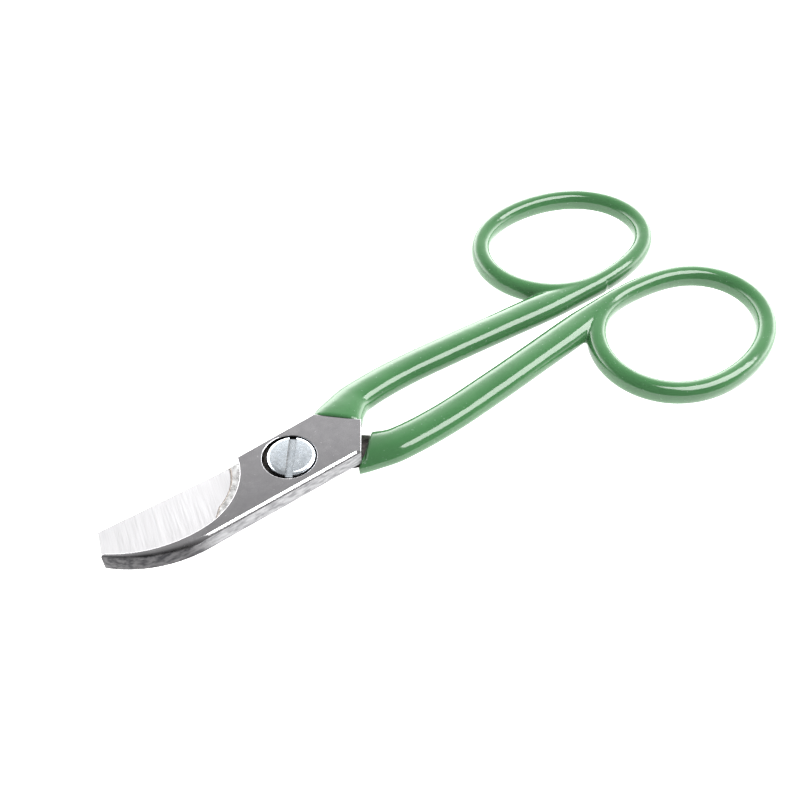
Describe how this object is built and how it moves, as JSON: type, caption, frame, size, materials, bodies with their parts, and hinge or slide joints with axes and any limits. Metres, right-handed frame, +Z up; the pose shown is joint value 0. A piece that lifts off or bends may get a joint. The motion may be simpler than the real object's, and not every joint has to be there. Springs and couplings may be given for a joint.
{
  "type": "floral snips",
  "caption": "Scissor-handled snips with a narrow hooked jaw over a wide ground blade, a slotted pivot screw and green dipped finger loops, for cutting stems and florist's wire.",
  "frame": {"origin": "on the pivot axis, at the flat underside of the lower half", "axes": "+X from the pivot towards the finger loops, +Y towards the upper half's handle, +Z up along the pivot axis, out of the screw's slotted head"},
  "size_m": [0.1652, 0.0818, 0.0087],
  "materials": {
    "plated_steel": "polished nickel plating",
    "ground_steel": "satin ground blade, plated elsewhere",
    "green_coat": "glossy dipped green vinyl",
    "zinc_screw": "bright zinc plating"
  },
  "bodies": {
    "lower": {"lower_half": "ground_steel", "lower_handle_coat": "green_coat", "pivot_screw": "zinc_screw"},
    "upper": {"upper_half": "plated_steel", "upper_handle_coat": "green_coat"}
  },
  "joints": [
    {"name": "pivot", "type": "hinge", "parent": "lower", "child": "upper", "pos_m": [0, 0, 0.00385], "axis": [0, 0, 1], "range_deg": [0, 45]}
  ]
}
